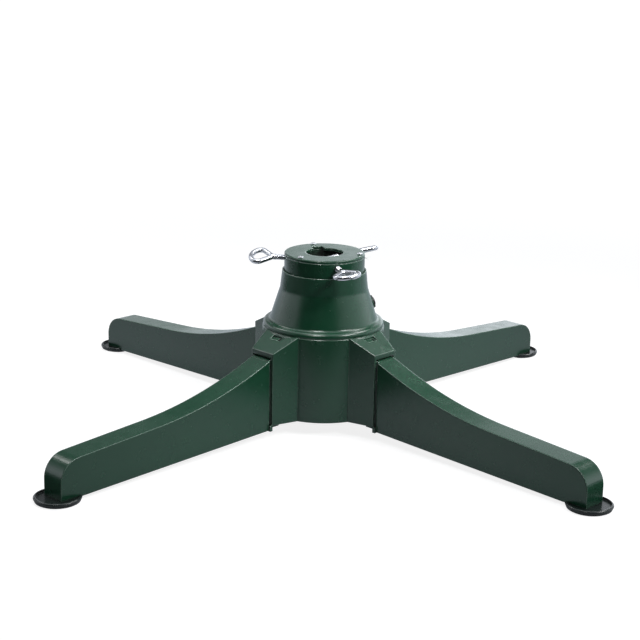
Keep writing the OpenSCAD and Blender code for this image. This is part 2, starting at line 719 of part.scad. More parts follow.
module head_pins() color("#b9bcc0") {
    for (a = screw_dirs) at(a) translate([pole_r + 0.3, 0, pin_z]) rotate([0, 90, 0])
        cylinder(d = pin_d, h = sleeve_r - pole_r - 0.5);
}
module bolt_nuts() color("#c9ccd0") {
    for (a = bolt_dirs) at(a) difference() {
        translate([nut_r, -nut_side / 2, bolt_z - nut_side / 2]) cube([nut_t, nut_side, nut_side]);
        translate([nut_r - 1, 0, bolt_z]) rotate([0, 90, 0])
            cylinder(d = bolt_d + 2 * run_gap, h = nut_t + 2);
    }
}

// ---- Eye bolts ----
// The eye is one bent wire: two straight legs, two corners and a bowed end. Its centre line
// is worked out in the eye's own plane, x along the bolt from where the legs part.
wire_r = eye_wire_d / 2;
corner_r = 5;
eye_end = eye_len - wire_r;
corner_y = eye_w / 2 - wire_r - corner_r;
corner_x = eye_end * 0.64;
bow_x = (eye_end * eye_end - 2 * eye_end * corner_r + corner_r * corner_r
    - corner_x * corner_x - corner_y * corner_y) / 2 / (eye_end - corner_r - corner_x);
bow_r = eye_end - bow_x;
bow_a = atan(corner_y / (corner_x - bow_x));
leg_d = norm([corner_x, corner_y]);
leg_a0 = atan(corner_y / corner_x) + asin(corner_r / leg_d);
leg_l = sqrt(leg_d * leg_d - corner_r * corner_r);
wire_step = 0.05;     // the legs and the bow are this much thinner than the corners
module bent(c, r, a0, a1, w) {
    translate([c[0], c[1], 0]) rotate([0, 0, a0])
        rotate_extrude(angle = a1 - a0) translate([r, 0]) circle(r = w, $fn = 32);
}
module eye() {
    for (s = [-1, 1]) rotate([0, 0, s * leg_a0]) rotate([0, 90, 0])
        cylinder(r = wire_r - wire_step * (s > 0 ? 1.6 : 1), h = leg_l, $fn = 32);
    bent([corner_x, corner_y], corner_r, bow_a, leg_a0 + 90, wire_r);
    bent([corner_x, -corner_y], corner_r, -leg_a0 - 90, -bow_a, wire_r);
    bent([bow_x, 0], bow_r, -bow_a, bow_a, wire_r - wire_step);
}
module eye_bolt(az, tip, roll) color("#d5d8dc") {
    at(az) translate([tip, 0, bolt_z]) rotate([roll, 0, 0]) {
        bolt_shank();
        translate([bolt_len - eye_len, 0, 0]) eye();
    }
}
module bolt_shank() {
    rotate([0, 90, 0]) rotate_extrude($fn = 48) polygon([[0, 0], [bolt_d / 2 - 0.7, 0],
        [bolt_d / 2, 0.9], [bolt_d / 2, bolt_len - eye_len + 1.2], [0, bolt_len - eye_len + 1.2]]);
}
module eye_bolt_front() eye_bolt(bolt_dirs[0], tip_r, 8);
module eye_bolt_rear() eye_bolt(bolt_dirs[1], rear_tip_r, -21);
module eye_bolt_left() eye_bolt(bolt_dirs[2], tip_r, -20);

// ---- Switch and power inlet ----
button_proud = 1.1;
module switch_body() color("#141414") switch_place() rotate([0, 90, 0]) {
    difference() {
        union() {
            translate([0, 0, switch_seat]) cylinder(r = bezel_d / 2, h = bezel_t);
            translate([0, 0, -10]) cylinder(r = switch_body_r, h = 10 + switch_seat + eps);
            for (y = [-2.4, 2.4]) translate([-1.2, y - 0.4, -14]) cube([2.4, 0.8, 4.2]);
        }
        translate([0, 0, -5.5]) cylinder(r = button_d / 2 + 0.3, h = 10);
    }
}
module switch_button() color("#232323") switch_place() rotate([0, 90, 0]) {
    top = switch_seat + bezel_t + button_proud;
    translate([0, 0, top - 5.4]) rotate_extrude() polygon([[0, 0], [button_d / 2, 0],
        [button_d / 2, 4.9], [button_d / 2 - 0.5, 5.4], [0, 5.4]]);
    translate([0, 0, -3.6 - eps]) cylinder(r = 1.4, h = top - 5.4 + 3.6 + 2 * eps);
}
inlet_r = inlet_d / 2;
inlet_flange_r = inlet_r + 1.7;
inlet_sink = 0.4;     // depth of the flat that the inlet's flange sits on
inlet_l = 13;
inlet_z = hub_lift + inlet_up;
module inlet_place() { translate([0, core_r, inlet_z]) rotate([90, 0, 0]) children(); }
module power_inlet() color("#151515") inlet_place() {
    difference() {
        union() {
            translate([0, 0, inlet_sink - 2]) cylinder(r = inlet_flange_r, h = 2);
            translate([0, 0, inlet_sink - 1]) cylinder(r = inlet_r, h = inlet_l + 1 - inlet_sink);
        }
        translate([0, 0, -2]) cylinder(r = inlet_r - 1.2, h = inlet_l);
    }
    translate([0, 0, 0]) cylinder(r = 1, h = inlet_l - 1.5);
}
module inlet_nut() color("#c9ccd0") inlet_place() {
    difference() {
        translate([0, 0, hub_wall + 0.5]) cylinder(r = inlet_r + 2.2, h = 2.4, $fn = 6);
        translate([0, 0, hub_wall - 1]) cylinder(r = inlet_r + run_gap, h = 6);
    }
}

// ---- Legs and feet ----
module leg_tongue_flange() {
    side([[flange_at, tongue_bottom], [flange_at, leg_line(flange_at, 0) - 0.5],
        [flange_at + tongue_flange_t, leg_line(flange_at + tongue_flange_t, 0) - 0.5],
        [flange_at + tongue_flange_t, tongue_bottom]], tongue_flange_w);
}
module leg() color("#1f4a35") {
    difference() {
        union() {
            leg_shell();
            side([[snap[0], leg_line(snap[0], 0) - 1.5], [snap[0], snap_top + snap_rise],
                [snap[1], snap_top], [snap[1], leg_line(snap[1], 0) - 1.5]],
                window_w - 2 * window_gap);
            leg_ledge();
        }
        // Slit in the snap's top, to press it free with a blade
        translate([snap[0] + 0.4, snap_slit_at - snap_slit / 2, leg_line(snap[0], leg_wall) - 3])
            cube([snap[1] - snap[0] - 0.8, snap_slit, hub_top]);
        for (s = [0, 1]) mirror([0, s, 0])
            translate([arm_reach, leg_w / 2 - mouth_groove[1], leg_root_bottom - 1])
                cube([mouth_groove[0], 2, hub_top]);
    }
}
// Ledge that the arm's side walls stand on, with a stop at the arm's mouth
module leg_ledge() {
    out = arm_reach + mouth_groove[0] + 0.4;
    difference() {
        side([[arm_reach - 8, hub_lift - 1.6], [arm_reach - 8, hub_lift], [out, hub_lift],
            [out, leg_root_bottom - 0.6], [arm_reach - 0.6, leg_root_bottom - 0.6],
            [arm_reach - 0.6, hub_lift - 1.6]], arm_mouth_w);
        side([[arm_reach - 9, 0], [arm_reach - 9, hub_top], [out + 1, hub_top], [out + 1, 0]],
            leg_w - 2 * leg_wall);
    }
}
module leg_shell() {
    lap = arm_reach - 2;
    flat_u = foot_at - foot_cut - 3;
    difference() {
        union() {
            side(concat([[tongue_start, tongue_bottom]], leg_top(tongue_start, 0),
                [[leg_reach, foot_seat], [flat_u, foot_seat], [lap, leg_root_bottom],
                 [lap, tongue_bottom]]), leg_w);
            leg_tongue_flange();
        }
        side(concat([[tongue_start + leg_wall, 0]], leg_top(tongue_start + leg_wall, leg_wall),
            [[leg_reach - leg_wall, 0]]), leg_w - 2 * leg_wall);
    }
    // Ribs across the inside and the boss for the foot screw
    intersection() {
        union() {
            for (u = [arm_reach:leg_rib_pitch:foot_screw_at - 10])
                translate([u, -leg_w / 2 + 1, leg_root_bottom + 4]) cube([leg_rib_t, leg_w - 2, 90]);
            translate([foot_screw_at, 0, foot_seat]) difference() {
                cylinder(r = 4.5, h = 60);
                translate([0, 0, -1]) cylinder(d = foot_screw_d + 2 * slip, h = foot_screw_l + 1.5);
            }
            translate([foot_screw_at - 1, -leg_w / 2 + 1, foot_seat + 14]) cube([2, leg_w - 2, 60]);
        }
        side(concat([[tongue_start + 1, 0]], leg_top(tongue_start + 1, 1),
            [[leg_reach - 1, 0]]), leg_w);
    }
}
module dish_shape(r, cut, h) {
    intersection() {
        cylinder(r = r, h = h);
        translate([-cut, -r - 1, -1]) cube([cut + r + 1, 2 * r + 2, h + 2]);
    }
}
// The dish's outside: a wall that leans out from its floor and a rounded rim
module dish_bowl(z0) {
    rim_round = 1.5;
    intersection() {
        rotate_extrude() polygon(concat([[0, z0], [foot_r - 1.1, z0]],
            arc([foot_r - rim_round, foot_h - rim_round], rim_round, 0, 90, 8), [[0, foot_h]]));
        translate([-foot_cut, -foot_r - 1, 0]) cube([foot_cut + foot_r + 1, 2 * foot_r + 2, foot_h + 1]);
    }
}
module foot() color("#16201c") {
    under = pad_t - 0.4;
    translate([foot_at, 0, 0]) difference() {
        dish_bowl(under);
        difference() {
            translate([0, 0, foot_seat]) dish_shape(foot_r - foot_wall, foot_cut + 5, foot_h);
        }
        translate([-foot_cut - 1, -leg_w / 2 - leg_gap, foot_seat])
            cube([leg_reach - foot_at + foot_cut + 1 + leg_gap, leg_w + 2 * leg_gap, foot_h]);
        translate([0, 0, under - 1]) dish_shape(foot_r - 2, foot_cut - 2, 1.4);
        translate([foot_screw_at - foot_at, 0, 0]) {
            cylinder(d = foot_screw_d + 2 * slip, h = foot_h);
            cylinder(r = screw_head_r + slip, h = pad_t + sunk_head_h);
        }
    }
}
module pad() color("#101010") {
    translate([foot_at, 0, 0]) dish_shape(foot_r - 2.2, foot_cut - 2.2, pad_t);
}
module foot_screws() color("#b9bcc0") {
    for (a = leg_az) at(a) translate([foot_screw_at, 0, pad_t + sunk_head_h])
        rotate([180, 0, 0]) pan_screw(foot_screw_d, foot_screw_l, screw_head_r, sunk_head_h - 0.1);
}
module leg_front_right() at(leg_az[0]) leg();
module leg_rear_right() at(leg_az[1]) leg();
module leg_rear_left() at(leg_az[2]) leg();
module leg_front_left() at(leg_az[3]) leg();
module foot_front_right() at(leg_az[0]) foot();
module foot_rear_right() at(leg_az[1]) foot();
module foot_rear_left() at(leg_az[2]) foot();
module foot_front_left() at(leg_az[3]) foot();
module pad_front_right() at(leg_az[0]) pad();
module pad_rear_right() at(leg_az[1]) pad();
module pad_rear_left() at(leg_az[2]) pad();
module pad_front_left() at(leg_az[3]) pad();

hub_housing();
bottom_cover();
bottom_cover_screws();
bell_cover();
bell_screws();
neck_bush();
lower_bush();
lower_race();
gear_motor();
motor_screws();
switch_body();
power_inlet();
inlet_nut();
leg_front_right();
leg_rear_right();
leg_rear_left();
leg_front_left();
foot_front_right();
foot_rear_right();
foot_rear_left();
foot_front_left();
pad_front_right();
pad_rear_right();
pad_rear_left();
pad_front_left();
foot_screws();
spindle_tube();
upper_race();
drive_gear();
gear_screw();
head_ring();
head_cap();
cap_screws();
head_pins();
bolt_nuts();
ball_cage();
bearing_balls();
eye_bolt_front();
eye_bolt_rear();
eye_bolt_left();
motor_shaft();
pinion();
switch_button();
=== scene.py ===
import json
import math

import bmesh
import bpy
from mathutils import Matrix, Vector


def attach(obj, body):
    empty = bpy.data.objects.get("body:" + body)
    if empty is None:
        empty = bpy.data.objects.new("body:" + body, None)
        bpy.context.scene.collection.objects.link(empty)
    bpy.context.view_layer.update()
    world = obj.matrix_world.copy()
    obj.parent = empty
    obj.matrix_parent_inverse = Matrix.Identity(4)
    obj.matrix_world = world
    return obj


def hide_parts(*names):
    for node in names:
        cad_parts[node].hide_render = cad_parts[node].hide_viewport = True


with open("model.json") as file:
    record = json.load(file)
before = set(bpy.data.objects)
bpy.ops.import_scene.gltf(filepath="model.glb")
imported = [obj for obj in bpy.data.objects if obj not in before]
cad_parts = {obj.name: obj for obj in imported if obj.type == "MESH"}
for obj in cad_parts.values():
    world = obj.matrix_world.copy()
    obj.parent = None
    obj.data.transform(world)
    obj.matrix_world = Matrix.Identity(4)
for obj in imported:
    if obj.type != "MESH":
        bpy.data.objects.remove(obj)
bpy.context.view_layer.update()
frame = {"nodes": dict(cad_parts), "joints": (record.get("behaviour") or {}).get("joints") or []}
nodes = frame["nodes"]

# ---- Where the photograph was taken from ----
# The stand is seen from about 1.4 m away and a little above, with a lens of 86 mm on a
# 36 mm sensor. The camera leans by about a degree. Its three angles are in radians.
camera_place = (-0.0214, -1.3148, 0.4601)
camera_turn = -0.014
camera_down = 0.274
camera_lean = 0.019
camera = bpy.data.objects.new("camera", bpy.data.cameras.new("camera"))
bpy.context.scene.collection.objects.link(camera)
camera.data.lens = 86.44
camera.data.sensor_width = 36.0
camera.matrix_world = (
    Matrix.Translation(camera_place)
    @ Matrix.Rotation(camera_turn, 4, "Z")
    @ Matrix.Rotation(math.radians(90) - camera_down, 4, "X")
    @ Matrix.Rotation(camera_lean, 4, "Z")
)
bpy.context.scene.camera = camera
bpy.context.scene.view_settings.view_transform = "Standard"


# ---- White sweep ----
# A roll of matt white paper lies under the stand. The camera, metal and glass see it light,
# and the stand's soft shadow stays on it.
def linear(hex_colour):
    """An sRGB hex colour as the linear RGBA that the shaders take."""
    parts = [int(hex_colour[i:i + 2], 16) / 255 for i in (1, 3, 5)]
    return [c / 12.92 if c <= 0.04045 else ((c + 0.055) / 1.055) ** 2.4 for c in parts] + [1.0]


def add(tree, kind, links=None, **settings):
    """A node of that kind with its settings, and its inputs set or linked."""
    node = tree.nodes.new(kind)
    for name, value in settings.items():
        setattr(node, name, value)
    for socket, value in (links or {}).items():
        if isinstance(value, bpy.types.NodeSocket):
            tree.links.new(value, node.inputs[socket])
        else:
            node.inputs[socket].default_value = value
    return node


sweep_size = 40  # so wide that its edge never shows
bpy.ops.mesh.primitive_plane_add(size=sweep_size)
floor = bpy.context.object
floor.name = "studio_floor"
paper = bpy.data.materials.new("matt_white_paper")
paper.use_nodes = True
tree = paper.node_tree
tree.nodes.clear()
matt = add(tree, "ShaderNodeBsdfDiffuse", {"Color": linear("#9c9c9c")})
ray = add(tree, "ShaderNodeLightPath")
spot = add(tree, "ShaderNodeTexCoord").outputs["Object"]
# Gloss sees the paper darker in front of the stand than behind it, and a little cooler.
behind = add(tree, "ShaderNodeSeparateXYZ", {0: spot})
behind = add(tree, "ShaderNodeMapRange", {"Value": behind.outputs["Y"], "From Min": -0.25,
                                          "From Max": 0.15, "To Min": 0.36, "To Max": 0.64})
mirrored = add(tree, "ShaderNodeMath", {0: ray.outputs["Is Glossy Ray"], 1: behind.outputs[0]},
               operation="MULTIPLY")
shown = add(tree, "ShaderNodeMath",
            {0: ray.outputs["Is Camera Ray"], 1: ray.outputs["Is Transmission Ray"]}, operation="MAXIMUM")
shown = add(tree, "ShaderNodeMath", {0: shown.outputs[0], 1: mirrored.outputs[0]}, operation="MAXIMUM")
# The lamps reach the paper near the stand, so it needs less of a lift there than further out.
far = add(tree, "ShaderNodeVectorMath", {0: spot}, operation="LENGTH")
lift = add(tree, "ShaderNodeMapRange", {"Value": far.outputs["Value"], "From Min": 0.4, "From Max": 2.0,
                                        "To Min": 0.84, "To Max": 0.96})
lift = add(tree, "ShaderNodeMath", {0: shown.outputs[0], 1: lift.outputs[0]}, operation="MULTIPLY")
# A Mix node takes its factor at 0, two colours at 6 and 7, or two numbers at 2 and 3.
tint = add(tree, "ShaderNodeMix", {0: ray.outputs["Is Glossy Ray"], 6: (1, 1, 1, 1),
                                   7: (0.88, 0.97, 1.12, 1)}, data_type="RGBA")
glow = add(tree, "ShaderNodeEmission", {"Color": tint.outputs[2], "Strength": lift.outputs[0]})
surface = add(tree, "ShaderNodeAddShader", {0: matt.outputs[0], 1: glow.outputs[0]})
add(tree, "ShaderNodeOutputMaterial", {"Surface": surface.outputs[0]})
floor.data.materials.append(paper)

# ---- Studio light ----
# Light walls stand left, right and behind, brightest low down, under a light ceiling. The
# room is dark behind the camera. Six softboxes with grids hang over the set.
world = bpy.data.worlds.new("studio")
bpy.context.scene.world = world
world.use_nodes = True
tree = world.node_tree
tree.nodes.clear()
# Each wall is lit by the way that a ray goes out: X to the right, Y to the back and Z up.
way = add(tree, "ShaderNodeTexCoord").outputs["Generated"]
part = add(tree, "ShaderNodeSeparateXYZ", {0: way})
back_height = add(tree, "ShaderNodeMapRange", {"Value": part.outputs["Z"], "From Min": 0.1, "From Max": 0.4,
                                               "To Min": 1.1, "To Max": 0.12})
back_side = add(tree, "ShaderNodeMapRange", {"Value": part.outputs["Y"], "From Min": -0.3, "From Max": 0.6,
                                             "To Min": 0.15})
back_wall = add(tree, "ShaderNodeMath", {0: back_height.outputs[0], 1: back_side.outputs[0]},
                operation="MULTIPLY")
toward_back = add(tree, "ShaderNodeVectorMath", {0: way, 1: (0.32, 0.93, 0.16)}, operation="DOT_PRODUCT")
back_lamp = add(tree, "ShaderNodeMapRange", {"Value": toward_back.outputs["Value"], "From Min": 0.93,
                                             "From Max": 0.99, "To Max": 1.5})
ceiling = add(tree, "ShaderNodeMapRange", {"Value": part.outputs["Z"], "From Min": 0.6, "From Max": 0.9,
                                           "To Max": 1.3})
left_side = add(tree, "ShaderNodeMapRange", {"Value": part.outputs["X"], "From Min": -0.5,
                                             "From Max": -0.9})
left_height = add(tree, "ShaderNodeMapRange", {"Value": part.outputs["Z"], "From Max": 0.2, "To Min": 0.1})
left_wall = add(tree, "ShaderNodeMath", {0: left_side.outputs[0], 1: left_height.outputs[0]},
                operation="MULTIPLY")
right_wall = add(tree, "ShaderNodeMapRange", {"Value": part.outputs["X"], "From Min": 0.35,
                                              "From Max": 0.95, "To Max": 1.15})
wall_top = add(tree, "ShaderNodeMapRange", {"Value": part.outputs["Z"], "From Min": 0.36, "From Max": 0.58,
                                            "To Min": 1.0, "To Max": 0.2})
left_wall = add(tree, "ShaderNodeMath", {0: left_wall.outputs[0], 1: wall_top.outputs[0]},
                operation="MULTIPLY")
right_wall = add(tree, "ShaderNodeMath", {0: right_wall.outputs[0], 1: wall_top.outputs[0]},
                 operation="MULTIPLY")
room = back_wall
for lit in (back_lamp, ceiling, left_wall, right_wall):
    room = add(tree, "ShaderNodeMath", {0: room.outputs[0], 1: lit.outputs[0]}, operation="ADD")
toward_front = add(tree, "ShaderNodeVectorMath", {0: way, 1: (-0.28, -0.92, 0.27)}, operation="DOT_PRODUCT")
unlit = add(tree, "ShaderNodeMapRange", {"Value": toward_front.outputs["Value"], "From Min": 0.62,
                                         "From Max": 0.86, "To Min": 1.0, "To Max": 0.06},
            interpolation_type="SMOOTHSTEP")
room = add(tree, "ShaderNodeMath", {0: room.outputs[0], 1: unlit.outputs[0]}, operation="MULTIPLY")
ray = add(tree, "ShaderNodeLightPath")
shown = add(tree, "ShaderNodeMath",
            {0: ray.outputs["Is Camera Ray"], 1: ray.outputs["Is Transmission Ray"]}, operation="MAXIMUM")
# Gloss mirrors the room at its full level, and the rest of the light from it comes at half.
soft = add(tree, "ShaderNodeMapRange", {"Value": ray.outputs["Is Glossy Ray"], "To Min": 0.5})
room = add(tree, "ShaderNodeMath", {0: room.outputs[0], 1: soft.outputs[0]}, operation="MULTIPLY")
level = add(tree, "ShaderNodeMath", {0: room.outputs[0], 1: shown.outputs[0]}, operation="MAXIMUM")
sky = add(tree, "ShaderNodeBackground", {"Color": (0.95, 0.99, 1.06, 1.0), "Strength": level.outputs[0]})
add(tree, "ShaderNodeOutputWorld", {"Surface": sky.outputs[0]})

# Each softbox with where it hangs, where it points, its side, its grid's angle in degrees and
# its power in watts. The flange's own shows only as a glint.
for name, place, aim, size, grid, power in (
    ("left_softbox", (-1.2, 0.8, 1.5), (0, 0, 0), 0.60, 28, 0.22),
    ("top_softbox", (-0.28, 0.0, 2.0), (0, 0, 0), 0.60, 28, 0.22),
    ("right_softbox", (1.25, -0.45, 1.45), (0, 0, 0), 0.75, 28, 0.70),
    ("edge_softbox", (1.0, 0.62, 1.55), (0, 0, 0), 0.50, 28, 0.40),
    ("flange_softbox", (-0.25, -0.95, 1.5), (0, 0, 0.08), 0.30, 20, 0.30),
    ("bell_softbox", (1.15, -0.95, 1.4), (0.04, 0, 0.12), 0.40, 18, 0.22),
):
    lamp = bpy.data.objects.new(name, bpy.data.lights.new(name, "AREA"))
    bpy.context.scene.collection.objects.link(lamp)
    lamp.data.size = size
    lamp.data.energy = power
    lamp.data.spread = math.radians(grid)
    lamp.visible_diffuse = name != "flange_softbox"
    lamp.location = place
    lamp.rotation_euler = (Vector(aim) - Vector(place)).to_track_quat("-Z", "Y").to_euler()

# A black cloth lies in front of the stand and on both sides. Only reflections show it, and it
# keeps the upright faces deep green.
cloth = bpy.data.materials.new("black_cloth")
cloth.use_nodes = True
cloth.node_tree.nodes["Principled BSDF"].inputs["Base Color"].default_value = linear("#101010")
cloth.node_tree.nodes["Principled BSDF"].inputs["Roughness"].default_value = 0.9
cloth_z = 0.0005
cloth_corners = [(-0.225, -0.25), (0.08, -0.26), (0.235, -0.28), (0.8, -2.1), (-2.4, -2.0),
                 (-0.225, -0.08), (-0.55, -0.08), (-0.55, 0.6), (-2.4, 0.6),
                 (0.235, -0.08), (1.5, -0.08), (1.5, -2.1)]
front_part, left_part, right_part = (0, 4, 3, 2, 1), (0, 5, 6, 7, 8, 4), (2, 3, 11, 10, 9)
mesh = bpy.data.meshes.new("front_cloth")
mesh.from_pydata([(x, y, cloth_z) for x, y in cloth_corners], [], [front_part, left_part, right_part])
front = bpy.data.objects.new("front_cloth", mesh)
bpy.context.scene.collection.objects.link(front)
mesh.materials.append(cloth)
front.visible_camera = front.visible_diffuse = front.visible_shadow = front.visible_transmission = False


# ---- Legs and hub housing ----
# The four legs and the hub they plug into are injection moulded in spruce green
# polypropylene. Each mould was lightly spark eroded and the parts keep a satin gloss.
def moulded(name, colour, shade, worn_and_highlit, roughness, grain, depth):
    """Moulded plastic or rubber, with its eroded grain's width and depth in metres."""
    made = bpy.data.materials.new(name)
    made.use_nodes = True
    tree = made.node_tree
    shader = tree.nodes["Principled BSDF"]
    place = add(tree, "ShaderNodeTexCoord").outputs["Object"]
    # The melt flows in clouds some 45 mm across.
    cloud_w = 0.045
    flow = add(tree, "ShaderNodeTexNoise", {"Vector": place, "Scale": 1 / cloud_w, "Detail": 4.0})
    pigment = add(tree, "ShaderNodeMix", {0: flow.outputs["Fac"], 6: linear(colour), 7: linear(shade)},
                  data_type="RGBA")
    # The outer 1.5 mm of a corner is made lighter, in patches of 7 mm: partly rubbed wear from
    # handling and partly a painted highlight along the edge. A hollow corner, which has the same plastic
    # within 3 mm of it, stays as it is.
    corner_w, hollow_w, patch_w = 0.0015, 0.003, 0.007
    rounded = add(tree, "ShaderNodeBevel", {"Radius": corner_w}, samples=8)
    bare = add(tree, "ShaderNodeNewGeometry")
    turned = add(tree, "ShaderNodeVectorMath", {0: rounded.outputs[0], 1: bare.outputs["Normal"]},
                 operation="DOT_PRODUCT")
    corner = add(tree, "ShaderNodeMapRange", {"Value": turned.outputs["Value"], "From Min": 0.97,
                                              "From Max": 0.75})
    open_side = add(tree, "ShaderNodeAmbientOcclusion", {"Distance": hollow_w}, samples=4, only_local=True)
    outer = add(tree, "ShaderNodeMapRange", {"Value": open_side.outputs["AO"], "From Min": 0.8})
    wear_and_edge_highlight = add(tree, "ShaderNodeMath", {0: corner.outputs[0], 1: outer.outputs[0]}, operation="MULTIPLY")
    patchy = add(tree, "ShaderNodeTexNoise", {"Vector": place, "Scale": 1 / patch_w, "Detail": 3.0})
    patchy = add(tree, "ShaderNodeMapRange", {"Value": patchy.outputs["Fac"], "From Min": 0.3,
                                              "From Max": 0.7, "To Min": 0.6})
    wear_and_edge_highlight = add(tree, "ShaderNodeMath", {0: wear_and_edge_highlight.outputs[0], 1: patchy.outputs[0]}, operation="MULTIPLY")
    # The pale corner colour is partly wear and partly a painted highlight.
    skin = add(tree, "ShaderNodeMix", {0: wear_and_edge_highlight.outputs[0], 6: pigment.outputs[2], 7: linear(worn_and_highlit)},
               data_type="RGBA")
    # Painted shade: in holes, slots and hollows up to 45 mm across, the ambient occlusion
    # darkens the colour to nearly black deep inside.
    shade_reach = 0.045
    painted_hollow_shade = add(tree, "ShaderNodeAmbientOcclusion", {"Distance": shade_reach}, samples=6)
    painted_hollow_shade = add(tree, "ShaderNodeMapRange", {"Value": painted_hollow_shade.outputs["AO"], "From Min": 0.2, "From Max": 0.5,
                                            "To Min": 1.0, "To Max": 0.0})
    skin = add(tree, "ShaderNodeMix", {0: painted_hollow_shade.outputs[0], 6: skin.outputs[2], 7: linear("#040907")},
               data_type="RGBA")
    tree.links.new(skin.outputs[2], shader.inputs["Base Color"])
    # Patches about 9 mm across are rubbed smoother or duller.
    rub_w = 0.009
    rubbed = add(tree, "ShaderNodeTexNoise", {"Vector": place, "Scale": 1 / rub_w, "Detail": 6.0})
    gloss = add(tree, "ShaderNodeMapRange",
                {"Value": rubbed.outputs["Fac"], "From Min": 0.3, "From Max": 0.7,
                 "To Min": roughness - 0.04, "To Max": roughness + 0.05})
    # Where the shade is painted in the hollows, the surface is also made dull.
    gloss = add(tree, "ShaderNodeMix", {0: painted_hollow_shade.outputs[0], 2: gloss.outputs[0], 3: 0.9})
    tree.links.new(gloss.outputs[0], shader.inputs["Roughness"])
    # The walls sink by a tenth of a millimetre over some 24 mm as they cool.
    sink_depth, sink_w = 0.0001, 0.024
    sink = add(tree, "ShaderNodeTexNoise", {"Vector": place, "Scale": 1 / sink_w, "Detail": 1.0})
    wavy = add(tree, "ShaderNodeBump", {"Strength": 0.5, "Distance": sink_depth,
                                       "Height": sink.outputs["Fac"], "Normal": rounded.outputs[0]})
    # A real eroded grain is about 0.25 mm wide. It is drawn about 1 mm wide, so that it shows.
    eroded = add(tree, "ShaderNodeTexNoise", {"Vector": place, "Scale": 1 / grain, "Detail": 2.0})
    grained = add(tree, "ShaderNodeBump", {"Strength": 0.35, "Distance": depth,
                                           "Height": eroded.outputs["Fac"], "Normal": wavy.outputs[0]})
    tree.links.new(grained.outputs[0], shader.inputs["Normal"])
    return made


def dress(material, *names, edge=0.0):
    """Gives CAD nodes a material and, with an edge in metres, softened corners."""
    for name in names:
        piece = nodes[name]
        piece.data.materials.clear()
        piece.data.materials.append(material)
        if edge:
            soft = piece.modifiers.new("softened_corners", "BEVEL")
            soft.width = edge
            soft.segments = 3
            soft.limit_method = "ANGLE"
            soft.angle_limit = math.radians(40)
            soft.use_clamp_overlap = False
            piece.modifiers.new("face_normals", "WEIGHTED_NORMAL").keep_sharp = False


# Pigmented polypropylene: deep and even in colour, with a satin sheen that goes light at a
# low angle. Its corners are paler, partly rubbed wear and partly a painted highlight, and its hollows carry
# painted shade.
polypropylene = moulded("spruce_green_polypropylene", colour="#123d2a", shade="#16462f",
                        worn_and_highlit="#7f9a8b", roughness=0.24, grain=0.001, depth=0.000006)
leg_places = ("front_right", "rear_right", "rear_left", "front_left")
dress(polypropylene, *("leg_" + place for place in leg_places), edge=0.0007)
dress(polypropylene, "hub_housing", edge=0.0005)

# ---- Feet ----
# Near-black green polypropylene dishes under the leg ends, each on a moulded rubber pad.
# The dishes have the legs' satin gloss, and the rubber is dull and slightly grey.
dark_polypropylene = moulded("black_green_polypropylene", colour="#0b1613", shade="#0f1d19",
                             worn_and_highlit="#3c4a44", roughness=0.26, grain=0.001, depth=0.000015)
dress(dark_polypropylene, *("foot_" + place for place in leg_places), edge=0.0004)
rubber = moulded("moulded_rubber", colour="#141414", shade="#1c1c1b",
                 worn_and_highlit="#2e2e2d", roughness=0.75, grain=0.0008, depth=0.00006)
dress(rubber, *("pad_" + place for place in leg_places))


# ---- Foot and cover screws ----
# Pan-head screws for plastics in zinc-plated steel, with a cross recess and a coarse thread.
# One comes up through each foot into its leg, and four hold the hub's bottom cover.
def plated(name, colour, roughness, streak, pit):
    """Plated, drawn or ground metal. Streak stretches its pits, whose width is in metres."""
    made = bpy.data.materials.new(name)
    made.use_nodes = True
    tree = made.node_tree
    shader = tree.nodes["Principled BSDF"]
    shader.inputs["Metallic"].default_value = 1.0
    place = add(tree, "ShaderNodeTexCoord").outputs["Object"]
    # The surface clouds over by a fifth in patches of 6 mm.
    cloud_w, clouding = 0.006, 0.82
    cloud = add(tree, "ShaderNodeTexNoise", {"Vector": place, "Scale": 1 / cloud_w, "Detail": 5.0})
    cloudy = [c * clouding for c in linear(colour)[:3]] + [1.0]
    plate = add(tree, "ShaderNodeMix", {0: cloud.outputs["Fac"], 6: linear(colour), 7: cloudy},
                data_type="RGBA")
    tree.links.new(plate.outputs[2], shader.inputs["Base Color"])
    # Fingers and tools leave it duller in patches of 2.5 mm.
    rub_w = 0.0025
    rubbed = add(tree, "ShaderNodeTexNoise", {"Vector": place, "Scale": 1 / rub_w, "Detail": 4.0})
    gloss = add(tree, "ShaderNodeMapRange",
                {"Value": rubbed.outputs["Fac"], "From Min": 0.3, "From Max": 0.7,
                 "To Min": roughness * 0.8, "To Max": roughness * 1.35})
    tree.links.new(gloss.outputs[0], shader.inputs["Roughness"])
    # Real pits and drawing marks are about 0.1 mm wide. They are drawn coarser, to show.
    pit_depth = 0.00002
    drawn = add(tree, "ShaderNodeMapping", {"Vector": place, "Scale": streak})
    pits = add(tree, "ShaderNodeTexNoise", {"Vector": drawn.outputs[0], "Scale": 1 / pit, "Detail": 2.0})
    pitted = add(tree, "ShaderNodeBump", {"Strength": 0.3, "Distance": pit_depth,
                                          "Height": pits.outputs["Fac"]})
    tree.links.new(pitted.outputs[0], shader.inputs["Normal"])
    return made


def lathed(rings, sides):
    """A closed turned mesh round x. A ring is its place and its radius, or radius by side."""
    shape = bmesh.new()
    loops = []
    for x, radius in rings:
        loops.append([])
        for side in range(sides):
            turn = 2 * math.pi * side / sides
            r = radius(side) if callable(radius) else radius
            loops[-1].append(shape.verts.new((x, r * math.cos(turn), r * math.sin(turn))))
    for one, two in zip(loops, loops[1:]):
        for side in range(sides):
            after = (side + 1) % sides
            shape.faces.new((one[side], two[side], two[after], one[after]))
    shape.faces.new(loops[0])
    shape.faces.new(list(reversed(loops[-1])))
    bmesh.ops.recalc_face_normals(shape, faces=shape.faces)
    mesh = bpy.data.meshes.new("turned")
    shape.to_mesh(mesh)
    shape.free()
    return mesh


